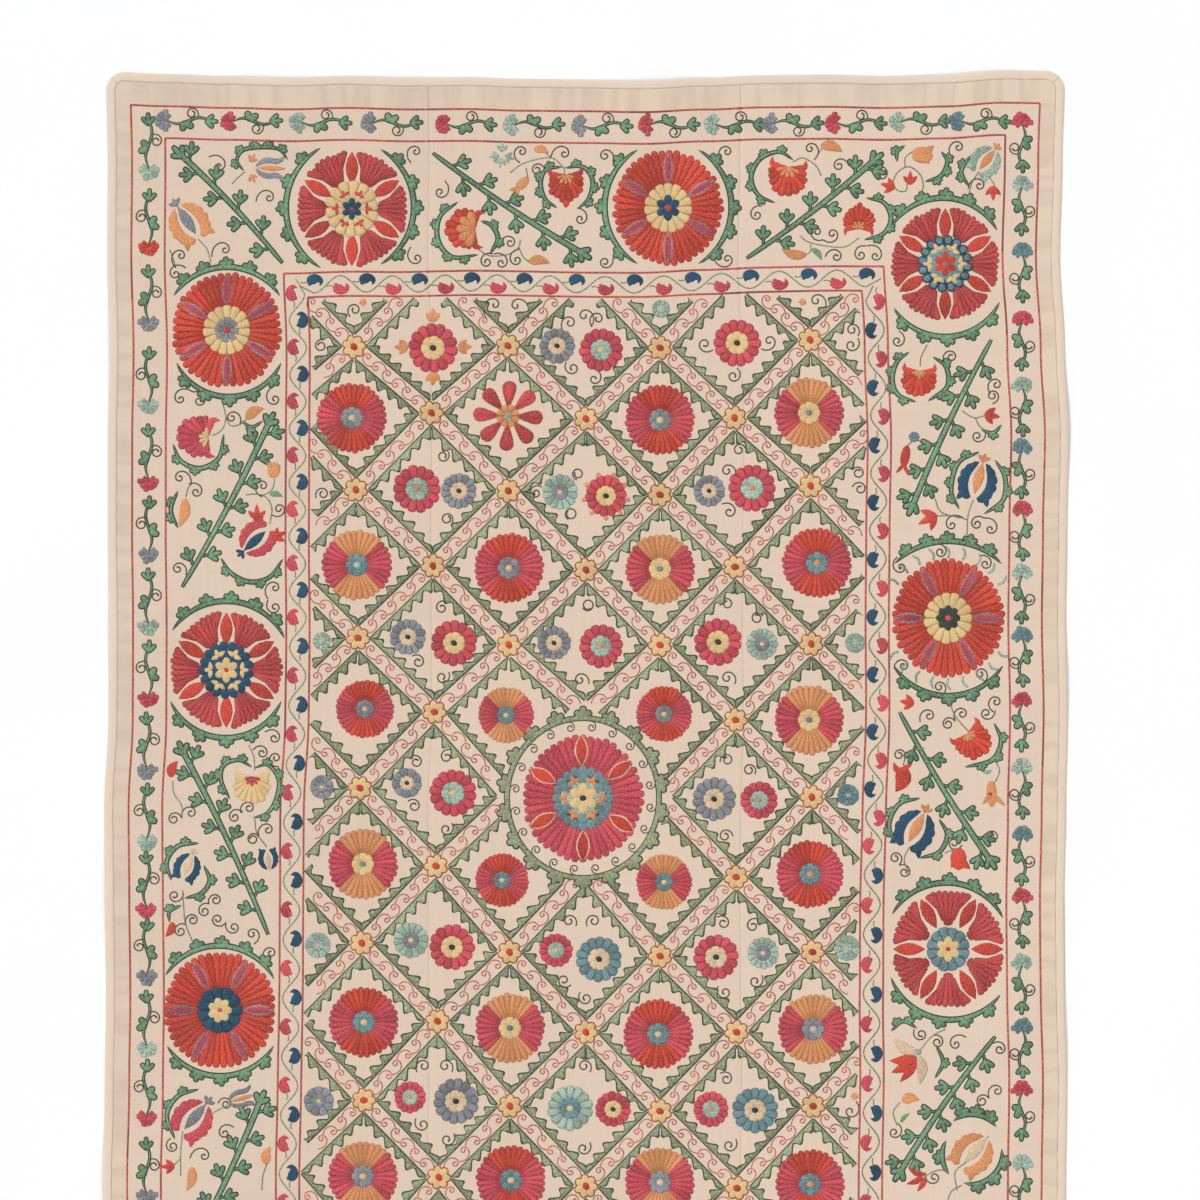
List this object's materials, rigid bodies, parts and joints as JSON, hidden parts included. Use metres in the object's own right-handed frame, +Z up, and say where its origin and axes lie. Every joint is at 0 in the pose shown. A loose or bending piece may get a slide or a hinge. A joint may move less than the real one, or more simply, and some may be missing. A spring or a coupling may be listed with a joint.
{
  "type": "embroidered suzani textile",
  "caption": "Large embroidered suzani cloth laid out flat: seamed ground strips with a folded binding, flower rosettes in its border and a flower lattice field.",
  "frame": {"origin": "middle of the underside of the cloth's bounding box, as it lies on the floor", "axes": "+X across the cloth, +Y along its length towards its top edge, +Z up from the floor"},
  "size_m": [1.6, 2.4498, 0.0069],
  "materials": {
    "ground_cloth": "matt",
    "binding_cloth": "matt",
    "silk_thread": "silky"
  },
  "bodies": {
    "root": {"strip_left": "ground_cloth", "strip_centre": "ground_cloth", "strip_right": "ground_cloth", "binding_top": "binding_cloth", "binding_bottom": "binding_cloth", "binding_left": "binding_cloth", "binding_right": "binding_cloth"}
  },
  "joints": []
}
